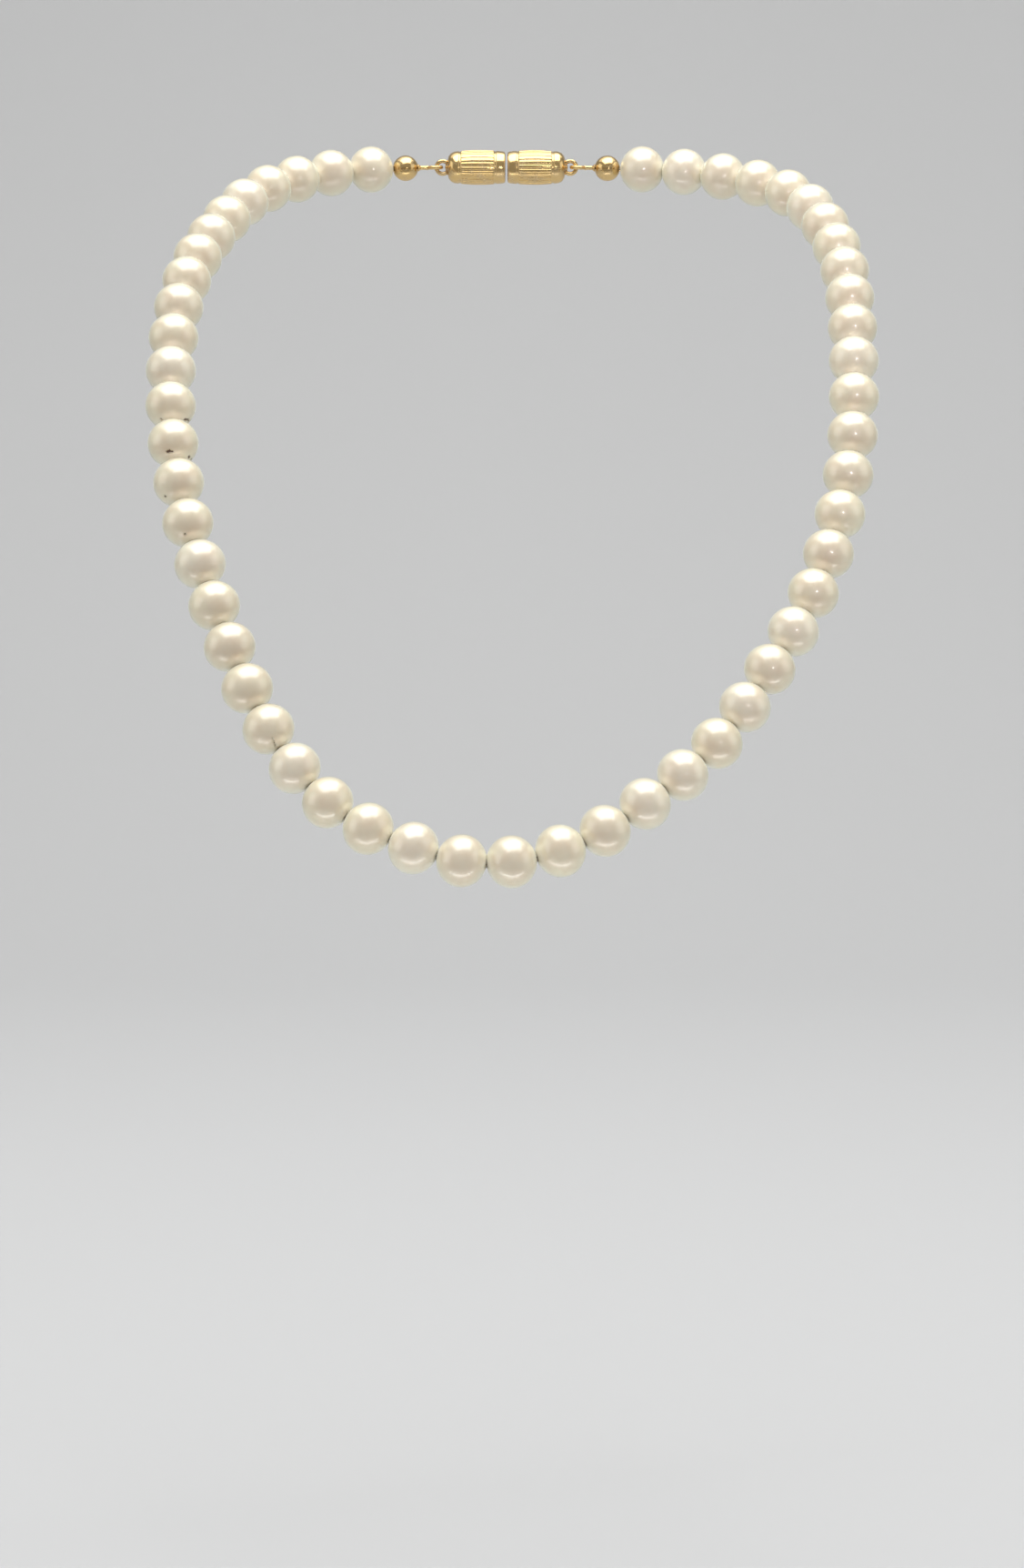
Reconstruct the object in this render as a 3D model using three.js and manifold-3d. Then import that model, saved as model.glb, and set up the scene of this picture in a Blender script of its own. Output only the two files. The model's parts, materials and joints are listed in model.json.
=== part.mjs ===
// Single-strand necklace of round imitation pearls, strung touching on one thread and closed by a
// magnetic barrel clasp, in the drape it takes round a neck and down a chest.
// Units are millimetres. +X is the viewer's right, +Y the back of the neck, +Z up.
// The origin lies on the nape, against the middle of the closed clasp.
import * as THREE from "three";
import { mergeVertices } from "three/addons/utils/BufferGeometryUtils.js";
import Module from "manifold-3d";

const wasm = await Module();
wasm.setup();

// Pearls: each is a little shorter along its drilled hole than it is wide.
const pearlCount = 53;
const pearlDiameter = 8;
const pearlLength = 7.3;
const pearlGap = 0.3;
// Width of the flat land round each drilled mouth.
const mouthLand = 0.15;

// Thread and the knots that end it inside the bead tips.
const threadDiameter = 0.5;
const threadClearance = 0.2;
const knotDiameter = 1.9;
const knotClearance = 0.9;

// Magnetic barrel clasp. Each half is a barrel with a wire loop on its outer end.
const barrelLength = 10;
const barrelBulge = 0.25;
// The barrel is at its fullest between these distances from its face.
const fullestFrom = 3.6;
const fullestTo = 5.8;
const rimChamfer = 0.5;
const endRounding = 1.4;
const claspGap = 0.4;
const magnetDiameter = 4;
const magnetThickness = 2;
const magnetClearance = 0.3;
const magnetRecess = 0.1;
// Width of the barrel's face round the magnet's pocket.
const magnetRim = 0.2;

// Wire loops that link each clasp half with its bead tip.
const loopWireDiameter = 0.7;
const loopOpening = 1.5;
// How deep the wire is soldered into the barrel's end.
const loopSeat = 0.25;
const loopClearance = 0.15;

// Bead tips: hollow cups over the knots, each on a short stem.
const cupWall = 0.35;
const stemDiameter = 0.9;
const stemLength = 1.9;

// The drape, as points on the strand's centre line from the wearer's right nape round the front.
const drape = [
  [-28.6, -1.8, -0.7],
  [-40.6, -13.8, -3.5],
  [-46.6, -26.6, -8.6],
  [-51.9, -46.4, -18.2],
  [-53.2, -64.5, -32.1],
  [-51, -79.6, -48.8],
  [-44.8, -91.9, -66.7],
  [-36.2, -103.1, -84.2],
  [-27, -109.2, -95],
  [-14, -113.7, -101.1],
  [-3.1, -115.6, -103.4],
  [7.6, -114.2, -101.8],
  [14.5, -112, -99.3],
  [20.7, -109.3, -95.2],
  [31.8, -103.3, -87.2],
  [40, -96.3, -76.6],
  [47.3, -88.6, -65.8],
  [53.6, -75.4, -48.5],
  [55.5, -60.8, -31.1],
  [55.4, -42.9, -17.1],
  [53.2, -29.9, -10],
  [48.2, -16.6, -4.4],
  [32.6, -2.7, -0.9],
];

// Fineness of the curved faces.
const pearlSegments = 12;
const pearlSteps = 5;
const barrelSegments = 18;
const roundingSteps = 4;
const cupSegments = 12;
const cupSteps = 5;
const wireSegments = 6;
const loopSegments = 18;
const threadSides = 6;
const knotSegments = 10;
const knotSteps = 6;

// How closely the links are stepped along the drape, and the scales that its fit is sought between.
const routeSamples = 6000;
const smallestScale = 0.2;
const largestScale = 5;
const scaleHalvings = 60;

const pearlFinish = { color: 0xeee6d8, roughness: 0.28, metalness: 0 };
const threadFinish = { color: 0xd9d3c7, roughness: 0.85, metalness: 0 };
const claspFinish = { color: 0xd9b45f, roughness: 0.25, metalness: 1 };
const magnetFinish = { color: 0xb9bcc0, roughness: 0.35, metalness: 1 };

const up = new THREE.Vector3(0, 0, 1);
const boreDiameter = threadDiameter + 2 * threadClearance;
const barrelDiameter = magnetDiameter + 2 * (magnetClearance + magnetRim + rimChamfer);
const loopDiameter = loopOpening + loopWireDiameter;
const cupDiameter = knotDiameter + 2 * (knotClearance + cupWall);
const claspAxisY = barrelDiameter / 2;
// The outermost wire of a clasp half's loop, where the bead tip's loop hangs.
const loopReach = barrelLength + loopDiameter - loopSeat;
const claspPivotX = claspGap / 2 + loopReach;
// How far the bead tip's loop stands from the wire it hangs on.
const loopOffset = loopDiameter / 2 - loopWireDiameter - loopClearance;
const cupCentre = loopOffset + loopDiameter / 2 + stemLength + cupDiameter / 2;
const tipLength = cupCentre + cupDiameter / 2 + pearlGap / 2;
const pearlPitch = pearlLength + pearlGap;
const links = [tipLength, ...Array(pearlCount).fill(pearlPitch), tipLength];

const leftPivot = new THREE.Vector3(-claspPivotX, claspAxisY, 0);
const rightPivot = new THREE.Vector3(claspPivotX, claspAxisY, 0);

function routePoints(scale) {
  const middle = drape.map(([x, y, z]) => new THREE.Vector3(x, y, z).multiplyScalar(scale));
  const curve = new THREE.CatmullRomCurve3([leftPivot, ...middle, rightPivot], false, "centripetal");
  return curve.getPoints(routeSamples);
}

// The point between a and b that lies at a distance from a centre.
function pointAtDistance(a, b, centre, distance) {
  const near = a.distanceTo(centre);
  const far = b.distanceTo(centre);
  return a.clone().lerp(b, (distance - near) / (far - near));
}

// Steps the rigid links along the route. spare is the route left over, or negative when it runs out.
function stepLinks(scale) {
  const route = routePoints(scale);
  const pivots = [route[0]];
  let next = 1;
  for (const link of links) {
    const last = pivots.at(-1);
    while (next < route.length && route[next].distanceTo(last) < link) next += 1;
    if (next === route.length) return { pivots, spare: -1 };
    pivots.push(pointAtDistance(route[next - 1], route[next], last, link));
  }
  return { pivots, spare: pivots.at(-1).distanceTo(rightPivot) };
}

// Scales the drape until the links reach from one clasp half exactly round to the other.
function closedPivots() {
  let low = smallestScale;
  let high = largestScale;
  for (let halving = 0; halving < scaleHalvings; halving += 1) {
    const middle = (low + high) / 2;
    if (stepLinks(middle).spare < 0) low = middle;
    else high = middle;
  }
  return stepLinks(high).pivots;
}

function toSolid(geometry) {
  const plain = geometry.clone();
  plain.deleteAttribute("normal");
  plain.deleteAttribute("uv");
  const merged = mergeVertices(plain, 1e-4);
  const triVerts = new Uint32Array(merged.index.array);
  const vertProperties = new Float32Array(merged.attributes.position.array);
  return new wasm.Manifold(new wasm.Mesh({ numProp: 3, vertProperties, triVerts }));
}

function join(...geometries) {
  const whole = geometries.map(toSolid).reduce((sum, part) => sum.add(part));
  const { vertProperties, triVerts } = whole.getMesh();
  const geometry = new THREE.BufferGeometry();
  geometry.setAttribute("position", new THREE.BufferAttribute(vertProperties, 3));
  geometry.setIndex(new THREE.BufferAttribute(triVerts, 1));
  geometry.computeVertexNormals();
  return geometry;
}

// Turned shapes stand on the Y axis; pairs are radius and height.
function turned(pairs, segments) {
  const points = pairs.map(([radius, height]) => new THREE.Vector2(radius, height));
  return new THREE.LatheGeometry(points, segments);
}

// Pairs along a round of an ellipse, from one angle above the equator to another.
function ellipsePairs(across, along, centre, fromAngle, toAngle, steps) {
  return Array.from({ length: steps + 1 }, (_, step) => {
    const angle = fromAngle + ((toAngle - fromAngle) * step) / steps;
    return [across * Math.cos(angle), centre + along * Math.sin(angle)];
  });
}

function pearlGeometry() {
  const across = pearlDiameter / 2;
  const bore = boreDiameter / 2;
  const mouthAngle = Math.acos((bore + mouthLand) / across);
  const along = pearlLength / 2 / Math.sin(mouthAngle);
  const skin = ellipsePairs(across, along, 0, -mouthAngle, mouthAngle, pearlSteps);
  const foot = [bore, -pearlLength / 2];
  return turned([foot, ...skin, [bore, pearlLength / 2], foot], pearlSegments);
}

// Barrel with its open face at height 0 and its closed end above, hollowed for the magnet.
function barrelGeometry() {
  const radius = barrelDiameter / 2;
  const face = radius - rimChamfer;
  const pocket = magnetDiameter / 2 + magnetClearance;
  const depth = magnetRecess + magnetThickness + magnetClearance;
  const end = radius - barrelBulge;
  const shoulder = barrelLength - endRounding;
  const round = ellipsePairs(endRounding, endRounding, shoulder, 0, Math.PI / 2, roundingSteps);
  const pairs = [
    [0, depth],
    [pocket, depth],
    [pocket, 0],
    [face, 0],
    [radius - barrelBulge, rimChamfer],
    [radius, fullestFrom],
    [radius, fullestTo],
    ...round.map(([out, height]) => [end - endRounding + out, height]),
    [0, barrelLength],
  ];
  return turned(pairs, barrelSegments);
}

// Wire loop in the XY plane, centred at a height on the Y axis.
function loopGeometry(height) {
  const wire = loopWireDiameter / 2;
  const loop = new THREE.TorusGeometry(loopDiameter / 2, wire, wireSegments, loopSegments);
  return loop.translate(0, height, 0);
}

// Clasp half along +Y, its face at height 0.
function claspHalfGeometry() {
  return join(barrelGeometry(), loopGeometry(loopReach - loopDiameter / 2));
}

function magnetGeometry() {
  const radius = magnetDiameter / 2;
  const base = magnetRecess;
  const top = base + magnetThickness;
  return turned([[0, base], [radius, base], [radius, top], [0, top]], barrelSegments);
}

// Bead tip along +Y, its pivot at height 0. The cup opens to the strand through the thread's hole.
function beadTipGeometry() {
  const outer = cupDiameter / 2;
  const inner = outer - cupWall;
  const hole = boreDiameter / 2;
  const outerEdge = Math.acos(hole / outer);
  const innerEdge = Math.acos(hole / inner);
  const cup = turned(
    [
      ...ellipsePairs(outer, outer, cupCentre, -Math.PI / 2, outerEdge, cupSteps),
      ...ellipsePairs(inner, inner, cupCentre, innerEdge, -Math.PI / 2, cupSteps),
    ],
    cupSegments,
  );
  const stemStart = loopOffset + loopDiameter / 2;
  const stemEnd = stemStart + stemLength + cupWall / 2;
  const stem = turned(
    [[0, stemStart], [stemDiameter / 2, stemStart], [stemDiameter / 2, stemEnd], [0, stemEnd]],
    wireSegments,
  );
  return join(cup, stem, loopGeometry(loopOffset));
}

// A path with one section at each of its points, turned half way at each bend.
class BentRoute extends THREE.Curve {
  constructor(points) {
    super();
    this.points = points;
  }
  indexAt(share) {
    return Math.round(share * (this.points.length - 1));
  }
  getPointAt(share, target = new THREE.Vector3()) {
    return target.copy(this.points[this.indexAt(share)]);
  }
  getTangentAt(share, target = new THREE.Vector3()) {
    const index = this.indexAt(share);
    const before = this.points[Math.max(index - 1, 0)];
    const after = this.points[Math.min(index + 1, this.points.length - 1)];
    return target.subVectors(after, before).normalize();
  }
}

function threadGeometry(points) {
  const section = new THREE.Shape();
  section.absarc(0, 0, threadDiameter / 2, 0, 2 * Math.PI);
  const tube = new THREE.ExtrudeGeometry(section, {
    steps: points.length - 1,
    curveSegments: threadSides / 2,
    extrudePath: new BentRoute(points),
  });
  const knot = new THREE.SphereGeometry(knotDiameter / 2, knotSegments, knotSteps);
  const knots = [points[0], points.at(-1)].map((place) =>
    knot.clone().translate(place.x, place.y, place.z),
  );
  return join(tube, ...knots);
}

const necklace = new THREE.Group();

function add(name, geometry, finish) {
  const mesh = new THREE.Mesh(geometry, new THREE.MeshStandardMaterial(finish));
  mesh.name = name;
  necklace.add(mesh);
  return mesh;
}

// Lays a shape made along +Y from one point towards another, its Z side kept as near up as it goes.
function lay(mesh, from, towards) {
  const along = towards.clone().sub(from).normalize();
  const across = new THREE.Vector3().crossVectors(along, up).normalize();
  const over = new THREE.Vector3().crossVectors(across, along);
  const turn = new THREE.Matrix4().makeBasis(across, along, over);
  mesh.quaternion.setFromRotationMatrix(turn);
  mesh.position.copy(from);
}

const pivots = closedPivots();

const claspHalf = claspHalfGeometry();
const magnet = magnetGeometry();
const beadTip = beadTipGeometry();
const sides = [
  { name: "left", face: -claspGap / 2, pivot: leftPivot, exit: pivots[1] },
  { name: "right", face: claspGap / 2, pivot: rightPivot, exit: pivots.at(-2) },
];
for (const side of sides) {
  const face = new THREE.Vector3(side.face, claspAxisY, 0);
  // The clasp's loops stand upright and the bead tips' loops lie level, linked through them.
  const half = add(`clasp_half_${side.name}`, claspHalf, claspFinish);
  lay(half, face, side.pivot);
  half.rotateY(Math.PI / 2);
  lay(add(`magnet_${side.name}`, magnet, magnetFinish), face, side.pivot);
  lay(add(`bead_tip_${side.name}`, beadTip, claspFinish), side.pivot, side.exit);
}

const pearl = pearlGeometry();
for (let index = 1; index <= pearlCount; index += 1) {
  const [from, to] = [pivots[index], pivots[index + 1]];
  const mesh = add(`pearl_${String(index).padStart(2, "0")}`, pearl, pearlFinish);
  lay(mesh, from, to);
  mesh.position.lerp(to, 0.5);
}

const knotAt = (pivot, exit) => pivot.clone().lerp(exit, cupCentre / tipLength);
const threadPoints = [
  knotAt(leftPivot, pivots[1]),
  ...pivots.slice(1, -1),
  knotAt(rightPivot, pivots.at(-2)),
];
add("stringing_thread", threadGeometry(threadPoints), threadFinish);

export default necklace;
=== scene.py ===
import json
import math
import random

import bmesh
import bpy
from mathutils import Matrix, Vector


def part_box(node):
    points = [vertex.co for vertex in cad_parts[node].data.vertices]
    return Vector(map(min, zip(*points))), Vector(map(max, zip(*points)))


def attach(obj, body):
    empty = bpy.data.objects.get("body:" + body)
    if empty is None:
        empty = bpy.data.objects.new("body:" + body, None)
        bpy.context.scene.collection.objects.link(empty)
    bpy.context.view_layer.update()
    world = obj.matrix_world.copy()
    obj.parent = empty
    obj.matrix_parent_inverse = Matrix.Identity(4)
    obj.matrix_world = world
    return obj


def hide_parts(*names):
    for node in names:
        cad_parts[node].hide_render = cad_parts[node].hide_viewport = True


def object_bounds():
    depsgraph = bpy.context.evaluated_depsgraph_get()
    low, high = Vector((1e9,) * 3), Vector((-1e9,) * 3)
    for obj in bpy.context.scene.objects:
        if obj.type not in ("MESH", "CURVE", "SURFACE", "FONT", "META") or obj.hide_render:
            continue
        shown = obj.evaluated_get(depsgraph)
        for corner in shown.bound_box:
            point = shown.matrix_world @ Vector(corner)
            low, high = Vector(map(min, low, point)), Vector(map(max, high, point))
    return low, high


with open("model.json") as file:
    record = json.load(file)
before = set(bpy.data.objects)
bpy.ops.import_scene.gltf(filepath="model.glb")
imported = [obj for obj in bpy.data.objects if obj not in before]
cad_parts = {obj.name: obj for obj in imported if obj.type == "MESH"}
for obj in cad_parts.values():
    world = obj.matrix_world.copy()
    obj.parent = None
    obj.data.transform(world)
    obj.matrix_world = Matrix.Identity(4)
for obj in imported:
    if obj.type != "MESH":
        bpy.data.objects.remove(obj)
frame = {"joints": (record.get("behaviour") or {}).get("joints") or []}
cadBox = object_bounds()
boxLow, boxHigh = cadBox


def mm(value):
    return value / 1000


def colour(hexCode):
    parts = [int(hexCode[i:i + 2], 16) / 255 for i in (1, 3, 5)]
    return tuple(p / 12.92 if p <= 0.04045 else ((p + 0.055) / 1.055) ** 2.4 for p in parts) + (1,)


def clearSelection():
    if bpy.context.mode != "OBJECT":
        bpy.ops.object.mode_set(mode="OBJECT")
    bpy.ops.object.select_all(action="DESELECT")


def workOn(piece):
    clearSelection()
    piece.select_set(True)
    bpy.context.view_layer.objects.active = piece


def editMode(piece, kind="FACE"):
    workOn(piece)
    bpy.ops.object.mode_set(mode="EDIT")
    bpy.ops.mesh.select_mode(type=kind)
    bpy.ops.mesh.select_all(action="DESELECT")


def pick(piece, kind, wanted):
    # selects the verts, edges or faces of the piece in edit mode that pass a test
    bm = bmesh.from_edit_mesh(piece.data)
    for element in getattr(bm, kind):
        element.select_set(False)
    for element in getattr(bm, kind):
        if wanted(element):
            element.select_set(True)
    bm.select_flush_mode()
    bmesh.update_edit_mesh(piece.data)


def middle(element):
    return sum((v.co for v in element.verts), Vector()) / len(element.verts)


def addNode(tree, kind, settings=None, links=None):
    # a setting that is named or numbered as a socket sets that socket, and any other sets the node itself
    node = tree.nodes.new(kind)
    for name, value in (settings or {}).items():
        if isinstance(name, int) or name in node.inputs:
            node.inputs[name].default_value = value
        else:
            setattr(node, name, value)
    for name, source in (links or {}).items():
        tree.links.new(source, node.inputs[name])
    return node


def newMaterial(name):
    material = bpy.data.materials.new(name)
    material.use_nodes = True
    tree = material.node_tree
    tree.nodes.clear()
    return material, tree


def finishTree(tree, shader):
    addNode(tree, "ShaderNodeOutputMaterial", links={"Surface": shader.outputs[0]})


# the camera, the floor and the backdrop are placed from the box of the necklace
view = {
    "distance": 0.640,         # lens to the aimed point
    "downTilt": 8,             # degrees the camera looks down
    "lens": 98.2,              # mm
    "sensorWidth": 36,         # mm along the picture's longer side
    "nearest": 0.01,           # anything nearer the lens isn't drawn
    "aimFromFront": 0.0066,    # aimed point, behind the front of the box
    "aimFromBottom": 0.0153,   # above its bottom
    "aimFromMiddle": -0.0003,  # right of its middle
}


def addCamera():
    aim = Vector((
        (boxLow.x + boxHigh.x) / 2 + view["aimFromMiddle"],
        boxLow.y + view["aimFromFront"],
        boxLow.z + view["aimFromBottom"],
    ))
    tilt = math.radians(view["downTilt"])
    forward = Vector((0, math.cos(tilt), -math.sin(tilt)))
    data = bpy.data.cameras.new("camera")
    data.lens = view["lens"]
    data.sensor_width = view["sensorWidth"]
    data.sensor_fit = "AUTO"
    data.clip_start = view["nearest"]
    holder = bpy.data.objects.new("camera", data)
    holder.location = aim - forward * view["distance"]
    holder.rotation_euler = (math.radians(90) - tilt, 0, 0)
    bpy.context.scene.collection.objects.link(holder)
    bpy.context.scene.camera = holder


addCamera()
bpy.context.scene.view_settings.view_transform = "Standard"
print("camera set")

stage = {
    "floorDrop": 0.112,     # floor below the lowest pearl, where a bust's foot would stand
    "front": 0.27,          # table edge before the clasp, so that the pearls' undersides stay shaded
    "back": 0.75,
    "halfWidth": 1.6,
    "height": 1.6,
    "sweep": 0.35,          # radius where the floor turns up into the backdrop
    "sweepSegments": 16,
    "colour": "#C6C7C8",
    "grainSize": 1.11,      # mm, the paper's fibres drawn coarser than real so that they show
    "grainHeight": 0.1,     # mm
    "grainStrength": 0.05,
    "roughness": 0.9,
}


def paperMaterial():
    # matt seamless paper, so light spreads from it with no shine; it hides nothing from behind
    material, tree = newMaterial("seamless paper")
    place = addNode(tree, "ShaderNodeTexCoord").outputs["Object"]
    grain = addNode(tree, "ShaderNodeTexNoise", {"Scale": 1 / mm(stage["grainSize"]), "Detail": 3},
                    {"Vector": place})
    bump = addNode(tree, "ShaderNodeBump", {
        "Strength": stage["grainStrength"], "Distance": mm(stage["grainHeight"]),
    }, {"Height": grain.outputs["Fac"]})
    shader = addNode(tree, "ShaderNodeBsdfPrincipled", {
        "Base Color": colour(stage["colour"]), "Roughness": stage["roughness"], "Specular IOR Level": 0.2,
    }, {"Normal": bump.outputs["Normal"]})
    sides = addNode(tree, "ShaderNodeNewGeometry")
    behind = addNode(tree, "ShaderNodeBsdfTransparent")
    paper = addNode(tree, "ShaderNodeMixShader", links={
        0: sides.outputs["Backfacing"], 1: shader.outputs[0], 2: behind.outputs[0],
    })
    finishTree(tree, paper)
    return material


def addStage():
    floorZ = boxLow.z - stage["floorDrop"]
    clearSelection()
    bpy.ops.mesh.primitive_plane_add(size=1)
    floor = bpy.context.object
    floor.name = "floor"
    for corner in floor.data.vertices:
        side = 1 if corner.co.x > 0 else -1
        far = stage["back"] if corner.co.y > 0 else -stage["front"]
        corner.co = Vector((side * stage["halfWidth"], far, floorZ))
    editMode(floor, "EDGE")
    pick(floor, "edges", lambda e: all(v.co.y > 0 for v in e.verts))
    bpy.ops.mesh.extrude_region_move(TRANSFORM_OT_translate={"value": (0, 0, stage["height"])})
    pick(floor, "edges", lambda e: all(v.co.y > 0 and v.co.z < floorZ + stage["sweep"] for v in e.verts))
    bpy.ops.mesh.bevel(offset=stage["sweep"], segments=stage["sweepSegments"], affect="EDGES")
    bpy.ops.object.mode_set(mode="OBJECT")
    bpy.ops.object.shade_smooth()
    floor.data.materials.append(paperMaterial())


addStage()

# power is in watts; a lamp without an aim points at the necklace, and one without a spread is fully soft
lights = [
    {"name": "overhead softbox", "place": (0.03, -0.14, 0.62), "size": (0.9, 0.7), "power": 7.0},
    {"name": "lamp right", "place": (0.14, -0.6, 0.02), "size": (0.05, 0.05), "power": 0.004,
     "aim": Vector((-0.085, 0.55, -0.05)), "spread": 20},
    {"name": "fill left", "place": (-1.5, -0.42, 0.3), "size": (1.15, 1.15), "power": 3.7},
    {"name": "fill right", "place": (1.5, -0.42, 0.3), "size": (1.15, 1.15), "power": 3.1},
    {"name": "low strip", "place": (0, -0.185, -0.215), "size": (0.3, 0.025), "power": 0.08,
     "aim": Vector((0, 0, 1))},
    {"name": "backdrop light", "place": (0, 0.25, 0.55), "size": (1.2, 0.3), "power": 1.2},
]
fullSpread = 180  # degrees

# the room is dim around the table, and pale wherever it shows behind it
room = {"colour": "#EEEBE6", "light": 0.42, "seen": 0.7}


def addLights():
    middlePoint = (boxLow + boxHigh) / 2
    for light in lights:
        data = bpy.data.lights.new(light["name"], "AREA")
        data.shape = "RECTANGLE"
        data.size, data.size_y = light["size"]
        data.energy = light["power"]
        data.spread = math.radians(light.get("spread", fullSpread))
        lamp = bpy.data.objects.new(light["name"], data)
        lamp.location = Vector(light["place"])
        aim = light.get("aim") or middlePoint - lamp.location
        lamp.rotation_euler = aim.to_track_quat("-Z", "Y").to_euler()
        lamp.visible_camera = False
        bpy.context.scene.collection.objects.link(lamp)
    world = bpy.data.worlds.new("studio")
    world.use_nodes = True
    tree = world.node_tree
    tree.nodes.clear()
    rays = addNode(tree, "ShaderNodeLightPath")
    strength = addNode(tree, "ShaderNodeMapRange", {"To Min": room["light"], "To Max": room["seen"]},
                       {"Value": rays.outputs["Is Camera Ray"]})
    glow = addNode(tree, "ShaderNodeBackground", {"Color": colour(room["colour"])},
                   {"Strength": strength.outputs["Result"]})
    addNode(tree, "ShaderNodeOutputWorld", links={"Surface": glow.outputs[0]})
    bpy.context.scene.world = world


addLights()
print("stage and lights set")

# where the strand runs, from the joints of the frame
jointTo = {joint["child"]: joint for joint in frame["joints"]}
order = [joint["child"] for joint in frame["joints"]]
pearlNames = [name for name in order if name.startswith("pearl_")]
pivots = {name: Vector(jointTo[name]["pos_m"]) for name in order}
nextAfter = dict(zip(order, order[1:]))


def span(body):
    # start, end of the stretch of thread that a body carries
    return pivots[body], pivots[nextAfter[body]]


def layMatrix(start, towards, spin=0.0):
    # turns a piece made along +Z so that it runs from start to towards, its X side kept level
    along = (towards - start).normalized()
    level = Vector((0, 0, 1)).cross(along).normalized()
    across = along.cross(level)
    turn = Matrix((level, across, along)).transposed().to_4x4()
    return Matrix.Translation(start) @ turn @ Matrix.Rotation(spin, 4, "Z")


def settle(piece, matrix):
    # puts the place of the piece in its mesh
    piece.data.transform(piece.matrix_basis)
    piece.matrix_basis = Matrix.Identity(4)
    piece.data.transform(matrix)


def copyOf(model, name):
    piece = model.copy()
    piece.data = model.data.copy()
    piece.name = name
    bpy.context.scene.collection.objects.link(piece)
    return piece


pearl = {
    "radius": mm(4),
    "rimGap": mm(0.08),        # between neighbouring mouths
    "holeRadius": mm(0.45),
    "around": 64,
    "rings": 40,
    "capRings": 2,             # rings removed at each pole for the drilled mouth
    "holeRounding": mm(0.07),
    "roundingSteps": 2,
    "roundAbove": 1.2,         # radians, how sharp an edge is before it is rounded
    "unevenness": 0.006,       # how far from round a pearl may be
    "seed": 12,
    "chipDepth": mm(0.1),
    "chipEdge": mm(0.16),      # width of a chip's sloping edge
    "chipCuts": 6,             # finer mesh where a chip is
    "chipReach": mm(0.45),     # how far round a mark the mesh is finer
    "chipLimit": 0.49,         # share of the length from the middle, which leaves the flat mouths alone
}

# worn spots in the coating, each from one direction off the pearl's middle to another, with its half width
chips = {
    "pearl_13": [((0.62, -0.58, -0.53), (0.74, -0.41, -0.54), mm(0.19)),
                 ((0.74, -0.37, -0.56), (0.75, -0.24, -0.62), mm(0.13)),
                 ((-0.34, -0.80, -0.50), (-0.31, -0.79, -0.53), mm(0.11))],
    "pearl_14": [((-0.14, -0.95, -0.27), (-0.07, -0.96, -0.25), mm(0.26)),
                 ((-0.07, -0.96, -0.25), (0.04, -0.96, -0.27), mm(0.15)),
                 ((0.68, -0.53, -0.50), (0.69, -0.48, -0.54), mm(0.19)),
                 ((0.74, -0.27, -0.61), (0.75, -0.19, -0.64), mm(0.13))],
    "pearl_15": [((-0.49, -0.72, -0.49), (-0.49, -0.71, -0.51), mm(0.14))],
    "pearl_16": [((-0.05, -0.93, -0.37), (-0.05, -0.92, -0.38), mm(0.14))],
    "pearl_21": [((0.22, -0.95, -0.21), (0.27, -0.87, -0.41), mm(0.05)),
                 ((0.27, -0.87, -0.41), (0.31, -0.73, -0.61), mm(0.07))],
}


def modelPearl(length):
    clearSelection()
    bpy.ops.mesh.primitive_uv_sphere_add(
        segments=pearl["around"], ring_count=pearl["rings"], radius=pearl["radius"])
    piece = bpy.context.object
    piece.name = "pearl model"
    rimAngle = math.pi * pearl["capRings"] / pearl["rings"]
    rimRadius = pearl["radius"] * math.sin(rimAngle)
    rimHeight = pearl["radius"] * math.cos(rimAngle)
    editMode(piece)
    pick(piece, "faces", lambda f: abs(middle(f).z) > rimHeight)
    bpy.ops.mesh.delete(type="FACE")
    bpy.ops.mesh.select_mode(type="EDGE")
    bpy.ops.mesh.select_all(action="SELECT")
    # a little shorter along the drilled hole than across it
    bpy.ops.transform.resize(value=(1, 1, length / 2 / rimHeight), center_override=(0, 0, 0))
    # the flat land round the hole, then the hole itself
    pick(piece, "edges", lambda e: e.is_boundary)
    inward = pearl["holeRadius"] / rimRadius
    bpy.ops.mesh.extrude_region_move()
    bpy.ops.transform.resize(value=(inward, inward, 1), center_override=(0, 0, 0))
    pick(piece, "edges", lambda e: e.is_boundary)
    bpy.ops.mesh.bridge_edge_loops()
    bpy.ops.mesh.select_all(action="SELECT")
    bpy.ops.mesh.normals_make_consistent(inside=False)
    pick(piece, "edges", lambda e: e.is_manifold and e.calc_face_angle(0) > pearl["roundAbove"])
    bpy.ops.mesh.bevel(offset=pearl["holeRounding"], segments=pearl["roundingSteps"], affect="EDGES")
    bpy.ops.object.mode_set(mode="OBJECT")
    bpy.ops.object.shade_smooth()
    # how near each point is to a mouth, 0 at the waist and 1 at the rim
    share = piece.data.attributes.new("nearMouth", "FLOAT", "POINT")
    share.data.foreach_set("value", [min(abs(v.co.z) / (length / 2), 1) for v in piece.data.vertices])
    return piece


def besideLine(point, start, end):
    # distance of a point from a short line
    run = end - start
    share = 0 if run.length == 0 else max(0, min(1, (point - start).dot(run) / run.length_squared))
    return (point - start - run * share).length


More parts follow.
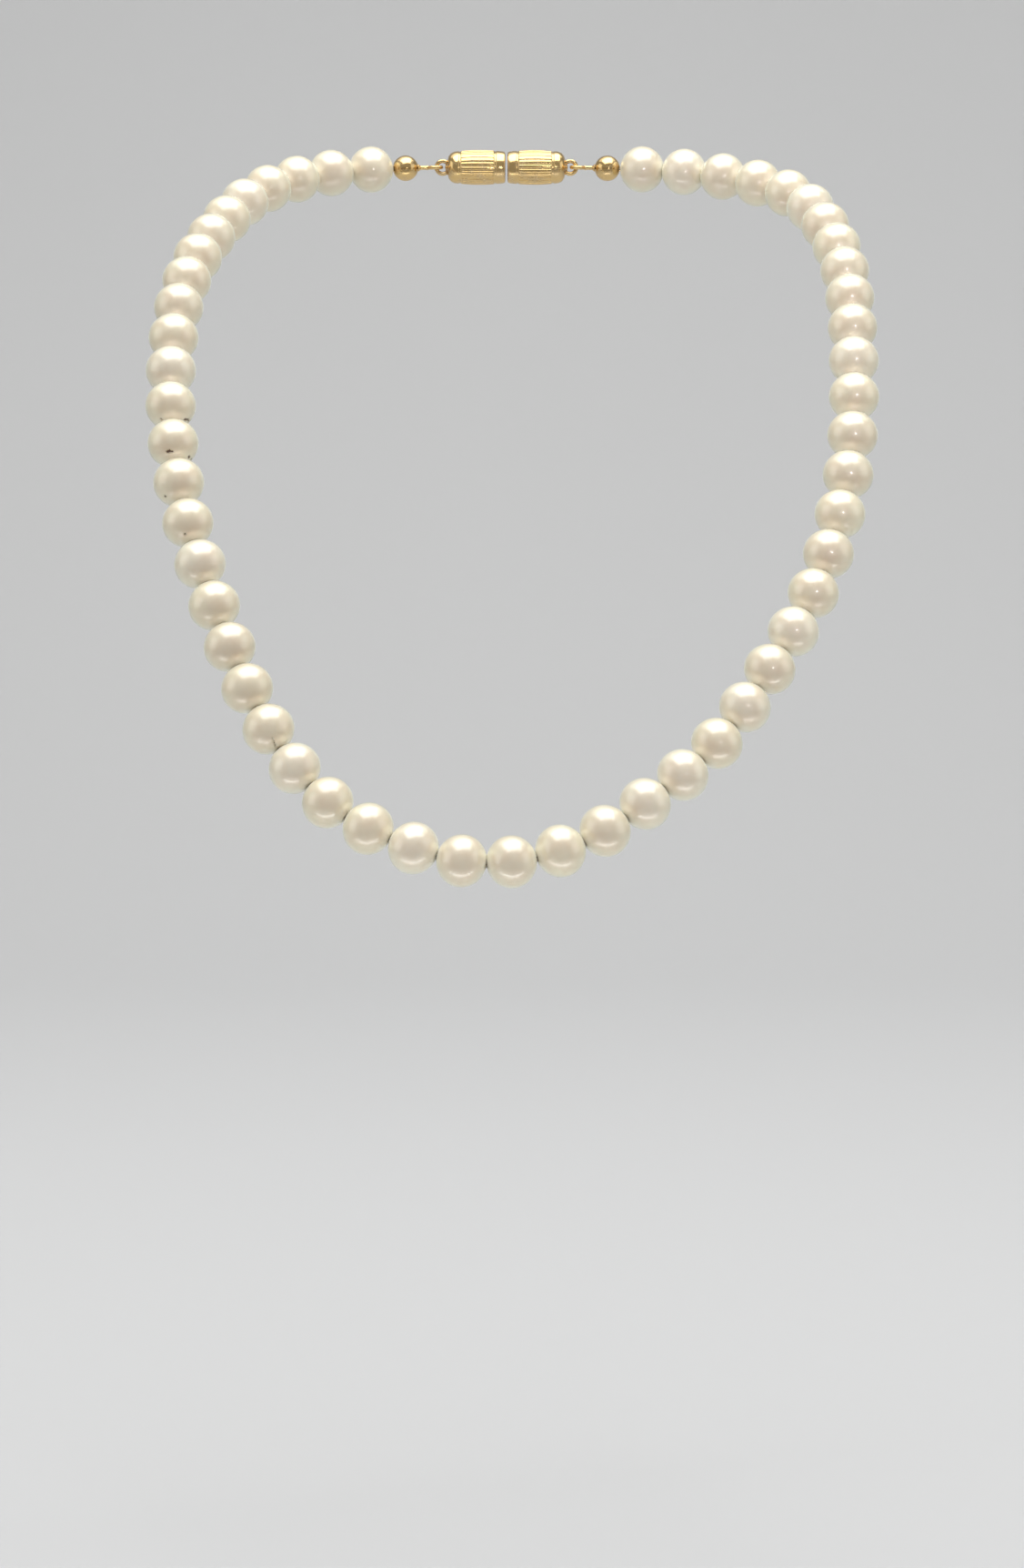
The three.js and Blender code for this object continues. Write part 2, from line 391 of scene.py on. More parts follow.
def chipCoating(piece, marks, length):
    # marks are in the pearl's own frame; the coating sinks there, in a finer mesh that keeps its edge crisp
    across = pearl["radius"]
    along = length / 2 / math.cos(math.pi * pearl["capRings"] / pearl["rings"])

    def onSkin(point):
        return point / math.sqrt((point.x ** 2 + point.y ** 2) / across ** 2 + point.z ** 2 / along ** 2)

    lines = [(onSkin(start), onSkin(end), width) for start, end, width in marks]

    def outside(point):
        # distance outside the nearest mark, below 0 within it
        return min(besideLine(point, start, end) - width for start, end, width in lines)

    editMode(piece)
    pick(piece, "faces", lambda f: outside(middle(f)) < pearl["chipReach"])
    bpy.ops.mesh.subdivide(number_cuts=pearl["chipCuts"])
    bpy.ops.object.mode_set(mode="OBJECT")
    closeness = []
    for point in piece.data.vertices:
        spare = outside(point.co)
        closeness.append(max(0, min(1, 0.5 - spare / pearl["chipReach"] / 2)))
        if spare < pearl["chipReach"] and abs(point.co.z) < length * pearl["chipLimit"]:
            depth = max(0, min(1, -spare / pearl["chipEdge"] + 0.5))
            point.co = onSkin(point.co)
            point.co *= 1 - depth * pearl["chipDepth"] / point.co.length
    # half at a mark's edge, more within it and nothing well outside
    chipped = piece.data.attributes.new("chipped", "FLOAT", "POINT")
    chipped.data.foreach_set("value", closeness)


pearlLook = {
    "bodies": ["#E6DDC4", "#E4DAC1", "#E8E0CC", "#E2D8C1"],
    "deep": "#DFC8AF",        # thicker, pinker patches of the coating
    "paleCoatAndPaintedLight": "#F8F3E8",       # paler coating that gathers round the mouth, and painted light that brightens the shade where neighbouring pearls meet
    "seam": "#A8926F",        # darker colour at the very rim of the drilled mouth, where neighbouring pearls meet
    "chip": "#4A2216",        # bared bead and dirt in a chip
    "stain": "#8A7A52",       # olive-brown stain round a chip
    "patchSize": 3.0,         # mm across a patch
    "grainSize": 0.3,         # mm, fine unevenness of the dipped coats
    "raggedSize": 0.16,       # mm, broken outline of a chip
    "patchFrom": 0.35,        # where the patches' noise begins to colour the body, and where fully
    "patchFull": 0.7,
    "patchMost": 0.45,        # how much of the patches' colour it takes there
    "paleCoatAndPaintedLightFrom": 0.75,        # share of the way from the waist to the rim
    "paleCoatAndPaintedLightFull": 0.97,
    "paleCoatAndPaintedLightMost": 0.7,
    "seamFrom": 0.985,        # past 1 the fine unevenness decides
    "seamFull": 1.03,
    "seamMost": 0.5,
    "seamRaggedness": 0.03,
    "smoothest": 0.34,        # roughness under the clear coat
    "roughest": 0.43,
    "stainFrom": 0.5,         # nearness to a chip, with its raggedness added
    "stainFull": 0.85,
    "stainMost": 0.7,
    "chipFrom": 0.76,
    "chipFull": 0.82,
    "chipRaggedness": 0.5,
    "chipRoughness": 0.5,     # added in a chip
    "grainStrength": 0.3,
    "grainHeight": 0.02,      # mm
    "patchStrength": 0.25,
    "patchHeight": 0.06,      # mm
}

pearlShader = {
    "IOR": 1.95,              # the essence's crystals mirror more than the clear coat over them
    "Specular IOR Level": 1.0,
    "Specular Tint": colour("#E8FDF8"),
    "Subsurface Weight": 0.25,
    "Subsurface Radius": (1.0, 0.85, 0.65),  # red light goes furthest into the coats
    "Subsurface Scale": mm(1.2),
    "Coat Weight": 1.0,
    "Coat Roughness": 0.13,
    "Coat IOR": 1.55,
    "Thin Film Thickness": 258,  # nm, a pink cast at the middle of a pearl and cream-green at its rim
    "Thin Film IOR": 2.4,
    "Sheen Weight": 0.5,
    "Sheen Roughness": 0.4,
    "Sheen Tint": colour("#F1F5E2"),
}


def pearlMaterial(name, bodyHex, isChipped=False):
    # bead dipped in pearl essence: a soft whitish sheen over a warm body, under a clear glossy coat
    look = pearlLook
    material, tree = newMaterial(name)
    place = addNode(tree, "ShaderNodeTexCoord").outputs["Object"]
    patches = addNode(tree, "ShaderNodeTexNoise", {
        "Scale": 1 / mm(look["patchSize"]), "Detail": 2, "Roughness": 0.5,
    }, {"Vector": place})
    grain = addNode(tree, "ShaderNodeTexNoise", {
        "Scale": 1 / mm(look["grainSize"]), "Detail": 3, "Roughness": 0.6,
    }, {"Vector": place})
    patchShare = addNode(tree, "ShaderNodeMapRange", {
        "From Min": look["patchFrom"], "From Max": look["patchFull"], "To Max": look["patchMost"],
    }, {"Value": patches.outputs["Fac"]})
    body = addNode(tree, "ShaderNodeMix", {
        "data_type": "RGBA", 6: colour(bodyHex), 7: colour(look["deep"]),
    }, {0: patchShare.outputs["Result"]})
    near = addNode(tree, "ShaderNodeAttribute", {"attribute_name": "nearMouth"})
    # paler coating round the mouth, partly painted light that brightens the shade between touching pearls
    paleCoatAndPaintedLightShare = addNode(tree, "ShaderNodeMapRange", {
        "From Min": look["paleCoatAndPaintedLightFrom"], "From Max": look["paleCoatAndPaintedLightFull"], "To Max": look["paleCoatAndPaintedLightMost"],
    }, {"Value": near.outputs["Fac"]})
    withPaleCoatAndPaintedLight = addNode(tree, "ShaderNodeMix", {"data_type": "RGBA", 7: colour(look["paleCoatAndPaintedLight"])},
                      {0: paleCoatAndPaintedLightShare.outputs["Result"], 6: body.outputs[2]})
    ragged = addNode(tree, "ShaderNodeMath", {"operation": "MULTIPLY_ADD", 1: look["seamRaggedness"]},
                     {0: grain.outputs["Fac"], 2: near.outputs["Fac"]})
    seamShare = addNode(tree, "ShaderNodeMapRange", {
        "From Min": look["seamFrom"], "From Max": look["seamFull"], "To Max": look["seamMost"],
    }, {"Value": ragged.outputs["Value"]})
    coat = addNode(tree, "ShaderNodeMix", {"data_type": "RGBA", 7: colour(look["seam"])},
                   {0: seamShare.outputs["Result"], 6: withPaleCoatAndPaintedLight.outputs[2]})
    smooth = addNode(tree, "ShaderNodeMapRange", {"To Min": look["smoothest"], "To Max": look["roughest"]},
                     {"Value": grain.outputs["Fac"]})
    colourOut, roughOut, coatOut = coat.outputs[2], smooth.outputs["Result"], None
    if isChipped:
        # a chip is dark and dull, with a broken outline and a stain round it, and no clear coat is left on it
        chipped = addNode(tree, "ShaderNodeAttribute", {"attribute_name": "chipped"})
        outline = addNode(tree, "ShaderNodeTexNoise", {
            "Scale": 1 / mm(look["raggedSize"]), "Detail": 3, "Roughness": 0.6,
        }, {"Vector": place})
        broken = addNode(tree, "ShaderNodeMath", {"operation": "MULTIPLY_ADD", 1: look["chipRaggedness"]},
                         {0: outline.outputs["Fac"], 2: chipped.outputs["Fac"]})
        stainShare = addNode(tree, "ShaderNodeMapRange", {
            "From Min": look["stainFrom"], "From Max": look["stainFull"], "To Max": look["stainMost"],
        }, {"Value": broken.outputs["Value"]})
        stained = addNode(tree, "ShaderNodeMix", {"data_type": "RGBA", 7: colour(look["stain"])},
                          {0: stainShare.outputs["Result"], 6: coat.outputs[2]})
        chipShare = addNode(tree, "ShaderNodeMapRange", {
            "From Min": look["chipFrom"], "From Max": look["chipFull"],
        }, {"Value": broken.outputs["Value"]})
        bared = addNode(tree, "ShaderNodeMix", {"data_type": "RGBA", 7: colour(look["chip"])},
                        {0: chipShare.outputs["Result"], 6: stained.outputs[2]})
        dull = addNode(tree, "ShaderNodeMath", {"operation": "MULTIPLY_ADD", 1: look["chipRoughness"]},
                       {0: chipShare.outputs["Result"], 2: smooth.outputs["Result"]})
        coatLeft = addNode(tree, "ShaderNodeMath", {"operation": "SUBTRACT", 0: 1.0},
                           {1: chipShare.outputs["Result"]})
        colourOut, roughOut, coatOut = bared.outputs[2], dull.outputs["Value"], coatLeft.outputs["Value"]
    fine = addNode(tree, "ShaderNodeBump", {
        "Strength": look["grainStrength"], "Distance": mm(look["grainHeight"]),
    }, {"Height": grain.outputs["Fac"]})
    waveSettings = {"Strength": look["patchStrength"], "Distance": mm(look["patchHeight"])}
    wave = addNode(tree, "ShaderNodeBump", waveSettings, {"Height": patches.outputs["Fac"]})
    both = addNode(tree, "ShaderNodeBump", waveSettings,
                   {"Height": patches.outputs["Fac"], "Normal": fine.outputs["Normal"]})
    shader = addNode(tree, "ShaderNodeBsdfPrincipled", pearlShader, {
        "Base Color": colourOut,
        "Roughness": roughOut,
        "Normal": both.outputs["Normal"],
        "Coat Normal": wave.outputs["Normal"],
    })
    if coatOut:
        tree.links.new(coatOut, shader.inputs["Coat Weight"])
    finishTree(tree, shader)
    return material


def addPearls():
    rng = random.Random(pearl["seed"])
    start, end = span(pearlNames[0])
    length = (end - start).length - pearl["rimGap"]
    model = modelPearl(length)
    looks = [
        pearlMaterial(f"dipped pearl coating {i + 1}", hexCode)
        for i, hexCode in enumerate(pearlLook["bodies"])
    ]
    chippedLook = pearlMaterial("chipped pearl coating", pearlLook["bodies"][0], isChipped=True)
    for name in pearlNames:
        start, end = span(name)
        piece = copyOf(model, f"{name}_bead")
        matrix = layMatrix((start + end) / 2, end, rng.uniform(0, 2 * math.pi))
        squeeze = [1 - pearl["unevenness"] * rng.random() for _ in range(2)]
        if chips.get(name):
            turnBack = matrix.to_3x3().inverted()
            chipCoating(piece, [
                (turnBack @ Vector(a), turnBack @ Vector(b), width) for a, b, width in chips[name]
            ], length)
        piece.data.transform(Matrix.Diagonal((squeeze[0], squeeze[1], 1, 1)))
        settle(piece, matrix)
        look = rng.choice(looks)
        piece.data.materials.append(chippedLook if chips.get(name) else look)
        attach(piece, name)
        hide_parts(name)
    bpy.data.objects.remove(model)


addPearls()
print("pearls strung")

thread = {
    "radius": mm(0.25),
    "sides": 16,
    "endRings": 8,             # of the ball that a stretch is drawn out from
    "cuts": 12,                # rings along a stretch
    "plies": 3,
    "plyPitch": mm(1.2),       # length of one full twist
    "plyDepth": mm(0.05),
    "plyStrength": 0.6,
    "roughness": 0.7,
    "sheen": 0.2,
    "colour": "#DAD2C2",
    "shade": "#9C917E",        # painted shade in the grooves between the plies
    "knotRadius": mm(0.42),    # of the trefoil's middle line
    "knotSwell": 0.42,         # how far its lobes reach in and out, as a share of that radius
    "knotHeight": 0.7,         # how far they rise and fall
    "knotPoints": 36,
    "knotSmoothness": 4,
    "merge": mm(0.001),        # points nearer than this become one
}


def markPlace(piece):
    # keeps each point's place in the model, so that the twist follows the thread wherever it lies
    place = piece.data.attributes.new("alongThread", "FLOAT_VECTOR", "POINT")
    place.data.foreach_set("vector", [c for v in piece.data.vertices for c in v.co])


def modelThread(length):
    clearSelection()
    bpy.ops.mesh.primitive_uv_sphere_add(
        segments=thread["sides"], ring_count=thread["endRings"], radius=thread["radius"])
    piece = bpy.context.object
    piece.name = "thread model"
    half = length / 2
    editMode(piece, "FACE")
    # the round ends are drawn apart, and the middle ring becomes the stretch between them
    pick(piece, "faces", lambda f: middle(f).z > 0)
    bpy.ops.mesh.split()
    bpy.ops.transform.translate(value=(0, 0, half))
    pick(piece, "faces", lambda f: middle(f).z < 0)
    bpy.ops.transform.translate(value=(0, 0, -half))
    bpy.ops.mesh.select_mode(type="EDGE")
    pick(piece, "edges", lambda e: e.is_boundary)
    bpy.ops.mesh.bridge_edge_loops(number_cuts=thread["cuts"])
    bpy.ops.mesh.select_all(action="SELECT")
    bpy.ops.mesh.normals_make_consistent(inside=False)
    bpy.ops.object.mode_set(mode="OBJECT")
    bpy.ops.object.shade_smooth()
    markPlace(piece)
    return piece


def modelKnot():
    # an overhand knot drawn tight, as a trefoil of the same thread
    curve = bpy.data.curves.new("knot model", "CURVE")
    curve.dimensions = "3D"
    curve.bevel_depth = thread["radius"]
    curve.bevel_resolution = thread["knotSmoothness"]
    line = curve.splines.new("POLY")
    line.points.add(thread["knotPoints"] - 1)
    line.use_cyclic_u = True
    for index, point in enumerate(line.points):
        turn = 2 * math.pi * index / thread["knotPoints"]
        spread = 1 + thread["knotSwell"] * math.cos(3 * turn)
        point.co = (
            thread["knotRadius"] * spread * math.cos(2 * turn),
            thread["knotRadius"] * spread * math.sin(2 * turn),
            thread["knotRadius"] * thread["knotHeight"] * math.sin(3 * turn),
            1,
        )
    piece = bpy.data.objects.new("knot model", curve)
    bpy.context.scene.collection.objects.link(piece)
    workOn(piece)
    bpy.ops.object.convert(target="MESH")
    piece = bpy.context.object
    editMode(piece)
    bpy.ops.mesh.select_all(action="SELECT")
    bpy.ops.mesh.remove_doubles(threshold=thread["merge"])
    bpy.ops.mesh.normals_make_consistent(inside=False)
    bpy.ops.object.mode_set(mode="OBJECT")
    bpy.ops.object.shade_smooth()
    markPlace(piece)
    return piece


def threadMaterial():
    # twisted nylon: pale plies wind round the thread, with painted shade as darker lines in the grooves
    # between them
    material, tree = newMaterial("twisted nylon thread")
    place = addNode(tree, "ShaderNodeAttribute", {"attribute_name": "alongThread"})
    parts = addNode(tree, "ShaderNodeSeparateXYZ", links={"Vector": place.outputs["Vector"]})
    angle = addNode(tree, "ShaderNodeMath", {"operation": "ARCTAN2"},
                    {0: parts.outputs["Y"], 1: parts.outputs["X"]})
    turned = addNode(tree, "ShaderNodeMath", {"operation": "MULTIPLY", 1: float(thread["plies"])},
                     {0: angle.outputs["Value"]})
    twist = addNode(tree, "ShaderNodeMath",
                    {"operation": "MULTIPLY_ADD", 1: 2 * math.pi * thread["plies"] / thread["plyPitch"]},
                    {0: parts.outputs["Z"], 2: turned.outputs["Value"]})
    plies = addNode(tree, "ShaderNodeMath", {"operation": "SINE"}, {0: twist.outputs["Value"]})
    ramp = addNode(tree, "ShaderNodeMapRange", {"From Min": -1.0}, {"Value": plies.outputs["Value"]})
    # painted shade darkens the grooves between the plies
    tone = addNode(tree, "ShaderNodeMix", {
        "data_type": "RGBA", 6: colour(thread["shade"]), 7: colour(thread["colour"]),
    }, {0: ramp.outputs["Result"]})
    bump = addNode(tree, "ShaderNodeBump", {
        "Strength": thread["plyStrength"], "Distance": thread["plyDepth"],
    }, {"Height": ramp.outputs["Result"]})
    shader = addNode(tree, "ShaderNodeBsdfPrincipled", {
        "Roughness": thread["roughness"], "Sheen Weight": thread["sheen"],
    }, {"Base Color": tone.outputs[2], "Normal": bump.outputs["Normal"]})
    finishTree(tree, shader)
    return material


def addThread():
    look = threadMaterial()
    stretch = modelThread((pivots[pearlNames[1]] - pivots[pearlNames[0]]).length)
    knot = modelKnot()
    tips = [("bead_tip_left", pivots[pearlNames[0]], pivots["bead_tip_left"]),
            ("bead_tip_right", pivots["bead_tip_right"], pivots["clasp_half_right"])]
    reach = tip["length"] - tip["cupCentre"]
    tail = modelThread(reach)
    laid = []
    for name in pearlNames:
        start, end = span(name)
        laid.append((stretch, f"thread_in_{name}", name, layMatrix((start + end) / 2, end)))
    for body, mouth, hook in tips:
        knotPlace = mouth + (hook - mouth).normalized() * reach
        laid.append((tail, f"thread_in_{body}", body, layMatrix((mouth + knotPlace) / 2, mouth)))
        laid.append((knot, f"knot_in_{body}", body, layMatrix(knotPlace, mouth)))
    for index, (model, name, body, matrix) in enumerate(laid):
        piece = copyOf(model, name)
        settle(piece, matrix)
        piece.data.materials.append(look)
        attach(piece, body)
        if index == 0:
            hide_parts("stringing_thread")
    for model in (stretch, tail, knot):
        bpy.data.objects.remove(model)


# each clasp half is made along +Z from the face that meets the other half
clasp = {
    "segments": 48,
    "pocketRadius": mm(2.3),   # the hollow for the magnet
    "pocketDepth": mm(2.4),
    "faceRadius": mm(2.5),
    "length": mm(10),
    # radius and height of the barrel in mm, from its face to its end
    "outline": [
        (2.68, 0.16), (2.76, 0.5), (2.86, 1.5), (2.88, 1.62), (2.89, 1.86), (2.9, 2.0), (2.98, 3.6),
        (2.99, 5.6), (2.84, 7.6), (2.84, 7.72), (2.82, 7.96), (2.8, 8.1), (2.72, 8.8), (2.45, 9.4),
        (1.95, 9.8), (1.3, 10),
    ],
    "grooves": [(1.62, 1.86), (7.72, 7.96)],  # heights in mm between which the outline is sunk
    "grooveDepth": mm(0.12),
    "boss": [(0.75, 0.04), (0.6, 0.3), (0.3, 0.42)],  # radius and rise in mm above the barrel's end
    "fluteStart": mm(2.1),
    "fluteEnd": mm(7.55),
    "fluteWidth": mm(0.07),    # left beside each flute
    "fluteDepth": mm(0.09),
    "outside": mm(2.65),       # faces further from the axis are on the barrel's outside
    "softening": mm(0.05),
    "softeningSteps": 2,
    "softenAbove": 30,         # degrees between faces
}

wire = {
    "radius": mm(0.35),
    "loopRadius": mm(1.1),
    "seat": mm(0.25),          # how deep a loop sits in the barrel's end
    "around": 48,
    "sides": 16,
}

# each bead tip is made along +Z from its joint, where its loop hangs in the clasp's loop
tip = {
    "segments": 48,
    "rings": 32,
    "loopOffset": mm(0.25),
    "cupRadius": mm(2.2),
    "cupWall": mm(0.35),
    "cupCentre": mm(5.45),
    "length": mm(7.8),
    "holeRadius": mm(0.45),
    "seamDepth": mm(0.16),
    "seamWidth": mm(0.24),
    "seamSlope": mm(0.02),
    "seamEnd": mm(1.6),        # above the cup's middle, short of the thread's hole
    "stemRadius": mm(0.45),
    "stemSegments": 24,
    "stemStart": 0.5,          # share of the stem's radius at its foot
    "stemFoot": [(1, 0.12), (0.8, 0.5)],  # share of its radius, and mm from its foot
    "stemCollar": [(0.8, 0.6), (1.35, 0.3), (1.45, 0.12), (1.2, 0)],  # the same, and mm from the cup
}

smoothBelow = math.radians(35)  # sharper edges stay crisp


def growRings(piece, rings):
    # extrudes the selected open edge through rings of (radius, height) round the Z axis
    for radius, height in rings:
        bm = bmesh.from_edit_mesh(piece.data)
        point = next(v.co for v in bm.verts if v.select)
        share = radius / math.hypot(point.x, point.y)
        lift = height - point.z
        bpy.ops.mesh.extrude_region_move(TRANSFORM_OT_translate={"value": (0, 0, lift)})
        bpy.ops.transform.resize(value=(share, share, 1), center_override=(0, 0, height))


def startRing(name, radius, height, segments):
    clearSelection()
    bpy.ops.mesh.primitive_circle_add(vertices=segments, radius=radius, location=(0, 0, height))
    bpy.ops.object.transform_apply()
    piece = bpy.context.object
    piece.name = name
    editMode(piece, "EDGE")
    bpy.ops.mesh.select_all(action="SELECT")
    return piece


def closeEnds():
    bpy.ops.mesh.select_all(action="SELECT")
    bpy.ops.mesh.fill_holes(sides=0)
    bpy.ops.mesh.select_all(action="SELECT")
    bpy.ops.mesh.normals_make_consistent(inside=False)


def applyModifier(piece, kind, **settings):
    workOn(piece)
    modifier = piece.modifiers.new(kind.lower(), kind)
    for name, value in settings.items():
        setattr(modifier, name, value)
    bpy.ops.object.modifier_apply(modifier=modifier.name)


def weld(piece, *others):
    for other in others:
        applyModifier(piece, "BOOLEAN", operation="UNION", solver="EXACT", object=other)
        bpy.data.objects.remove(other)
    workOn(piece)
    bpy.ops.object.shade_smooth_by_angle(angle=smoothBelow)


def modelLoop(height, spin):
    clearSelection()
    bpy.ops.mesh.primitive_torus_add(
        major_radius=wire["loopRadius"], minor_radius=wire["radius"],
        major_segments=wire["around"], minor_segments=wire["sides"],
        location=(0, 0, height), rotation=(math.radians(90), 0, spin))
    bpy.ops.object.transform_apply()
    return bpy.context.object


def modelClaspHalf():
    c = clasp
    rings = [(c["pocketRadius"], 0), (c["faceRadius"], 0)]
    for radius, height in c["outline"]:
        isSunk = any(low <= height <= high for low, high in c["grooves"])
        rings.append((mm(radius) - (c["grooveDepth"] if isSunk else 0), mm(height)))
    for radius, rise in c["boss"]:
        rings.append((mm(radius), c["length"] + mm(rise)))
    body = startRing("clasp model", c["pocketRadius"], c["pocketDepth"], c["segments"])
    growRings(body, rings)
    closeEnds()
    # flutes: every second column of faces between the grooves is inset and sunk
    step = 2 * math.pi / c["segments"]

    def onFlute(face):
        at = middle(face)
        isBetween = c["fluteStart"] < at.z < c["fluteEnd"] and math.hypot(at.x, at.y) > c["outside"]
        return isBetween and round(math.atan2(at.y, at.x) / step - 0.5) % 2 == 0

    bpy.ops.mesh.select_mode(type="FACE")
    pick(body, "faces", onFlute)
    bpy.ops.mesh.inset(thickness=c["fluteWidth"], depth=-c["fluteDepth"])
    bpy.ops.object.mode_set(mode="OBJECT")
    applyModifier(body, "BEVEL", width=c["softening"], segments=c["softeningSteps"],
                  angle_limit=math.radians(c["softenAbove"]))
    weld(body, modelLoop(c["length"] + wire["loopRadius"] - wire["seat"], math.radians(90)))
    return body


magnetDisc = {
    "segments": 64,
    "radius": mm(2),
    "thickness": mm(2),
    "recess": mm(0.1),         # how far behind the clasp's face it sits
    "faceRings": 2,
    "ringWidth": mm(0.5),
    "rounding": mm(0.18),
    "roundingSteps": 4,
    "roundAbove": 40,          # degrees between faces
}


def modelMagnet():
    m = magnetDisc
    clearSelection()
    waist = m["recess"] + m["thickness"] / 2
    bpy.ops.mesh.primitive_cylinder_add(
        vertices=m["segments"], radius=m["radius"], depth=m["thickness"], location=(0, 0, waist))
    bpy.ops.object.transform_apply()
    piece = bpy.context.object
    piece.name = "magnet model"
    editMode(piece)
    pick(piece, "faces", lambda f: middle(f).z < waist - m["thickness"] / 4)
    for _ in range(m["faceRings"]):
        bpy.ops.mesh.inset(thickness=m["ringWidth"])
    bpy.ops.object.mode_set(mode="OBJECT")
    applyModifier(piece, "BEVEL", width=m["rounding"], segments=m["roundingSteps"],
                  angle_limit=math.radians(m["roundAbove"]))
    bpy.ops.object.shade_smooth_by_angle(angle=smoothBelow)
    return piece


def modelBeadTip():
    t = tip
    clearSelection()
    bpy.ops.mesh.primitive_uv_sphere_add(
        segments=t["segments"], ring_count=t["rings"], radius=t["cupRadius"], location=(0, 0, t["cupCentre"]))
    bpy.ops.object.transform_apply()
    cup = bpy.context.object
    cup.name = "bead tip model"
    editMode(cup)
    # the thread's hole faces the strand
    holeHeight = math.sqrt(t["cupRadius"] ** 2 - t["holeRadius"] ** 2)
    pick(cup, "faces", lambda f: middle(f).z - t["cupCentre"] > holeHeight)
    bpy.ops.mesh.delete(type="FACE")
    # the line where the two shells of the cup close on each other
    for side in (-1, 1):
        bpy.ops.mesh.select_all(action="SELECT")
        bpy.ops.mesh.bisect(plane_co=(0, side * t["seamWidth"] / 2, t["cupCentre"]), plane_no=(0, 1, 0))

    def onSeam(face):
        at = middle(face)
        return abs(at.y) < t["seamWidth"] / 2 and at.z < t["cupCentre"] + t["seamEnd"]

    bpy.ops.mesh.select_mode(type="FACE")
    pick(cup, "faces", onSeam)
    bpy.ops.mesh.inset(thickness=t["seamSlope"], depth=-t["seamDepth"])
    bpy.ops.object.mode_set(mode="OBJECT")
    applyModifier(cup, "SOLIDIFY", thickness=t["cupWall"] - t["seamDepth"], offset=-1)
    # the stem, with a small foot on the loop and a collar at the cup
    foot = t["loopOffset"] + wire["loopRadius"]
    collar = t["cupCentre"] - t["cupRadius"] + t["cupWall"] / 2
    stem = startRing("stem", t["stemRadius"] * t["stemStart"], foot, t["stemSegments"])
    growRings(stem, [(t["stemRadius"] * share, foot + mm(rise)) for share, rise in t["stemFoot"]])
    growRings(stem, [(t["stemRadius"] * share, collar - mm(drop)) for share, drop in t["stemCollar"]])
    closeEnds()
    bpy.ops.object.mode_set(mode="OBJECT")
    weld(cup, stem, modelLoop(t["loopOffset"], 0))
    return cup


goldLook = {
    "colour": "#DDBE84",
    "worn": "#CDB48A",         # brass showing through where the plating is rubbed
    # darker, browner tone laid in the crevices
    "creviceTone": "#A8803F",
    "scratchSize": 0.12,       # mm, drawn coarser than real so that they show
    "scratchStretch": 0.08,    # how much slower they change along the clasp than across it
    "scratchFrom": 0.3,        # where the scratches' noise begins to roughen the plating, and where fully
    "scratchFull": 0.7,
    "scratchHeight": 0.01,     # mm
    "scratchStrength": 0.15,
    "rubSize": 1.6,            # mm
    "rubFrom": 0.45,           # where the rubs' noise begins to show, and where fully
    "rubFull": 0.7,
    "rubMost": 0.8,
    "rubRoughness": 0.14,      # added where it is rubbed
    "creviceSize": 0.25,       # mm, how near another surface has to be for the darker crevice tone to show
    "darkest": 0.3,            # openness of a crevice where the crevice tone is strongest, and where there is none
    "clear": 0.9,
    "creviceToneMost": 0.7,
    "smoothest": 0.14,         # roughness between the scratches
    "roughest": 0.24,
}


def goldMaterial():
    # gold-tone plating on brass: a warm mirror with fine scratches, and duller where it is rubbed
    look = goldLook
    material, tree = newMaterial("gold-tone plated brass")
    place = addNode(tree, "ShaderNodeTexCoord").outputs["Object"]
    drawn = addNode(tree, "ShaderNodeMapping", {"Scale": (look["scratchStretch"], 1, 1)}, {"Vector": place})
    scratches = addNode(tree, "ShaderNodeTexNoise", {"Scale": 1 / mm(look["scratchSize"]), "Detail": 3},
                        {"Vector": drawn.outputs["Vector"]})
    rubs = addNode(tree, "ShaderNodeTexNoise", {"Scale": 1 / mm(look["rubSize"]), "Detail": 4},
                   {"Vector": place})
    rubShare = addNode(tree, "ShaderNodeMapRange", {
        "From Min": look["rubFrom"], "From Max": look["rubFull"], "To Max": look["rubMost"],
    }, {"Value": rubs.outputs["Fac"]})
    tone = addNode(tree, "ShaderNodeMix", {
        "data_type": "RGBA", 6: colour(look["colour"]), 7: colour(look["worn"]),
    }, {0: rubShare.outputs["Result"]})
    # a darker, browner tone in the crevices, stronger where other surfaces are nearer
    crevice = addNode(tree, "ShaderNodeAmbientOcclusion", {"Distance": mm(look["creviceSize"])})
    creviceToneShare = addNode(tree, "ShaderNodeMapRange", {
        "From Min": look["darkest"], "From Max": look["clear"], "To Min": look["creviceToneMost"], "To Max": 0.0,
    }, {"Value": crevice.outputs["AO"]})
    withCreviceTone = addNode(tree, "ShaderNodeMix", {"data_type": "RGBA", 7: colour(look["creviceTone"])},
                   {0: creviceToneShare.outputs["Result"], 6: tone.outputs[2]})
    fine = addNode(tree, "ShaderNodeMapRange", {
        "From Min": look["scratchFrom"], "From Max": look["scratchFull"],
        "To Min": look["smoothest"], "To Max": look["roughest"],
    }, {"Value": scratches.outputs["Fac"]})
    roughness = addNode(tree, "ShaderNodeMath", {"operation": "MULTIPLY_ADD", 1: look["rubRoughness"]},
                        {0: rubShare.outputs["Result"], 2: fine.outputs["Result"]})
    bump = addNode(tree, "ShaderNodeBump", {
        "Strength": look["scratchStrength"], "Distance": mm(look["scratchHeight"]),
    }, {"Height": scratches.outputs["Fac"]})
    shader = addNode(tree, "ShaderNodeBsdfPrincipled", {"Metallic": 1.0}, {
        "Base Color": withCreviceTone.outputs[2],
        "Roughness": roughness.outputs["Value"],
        "Normal": bump.outputs["Normal"],
    })
    finishTree(tree, shader)
    return material


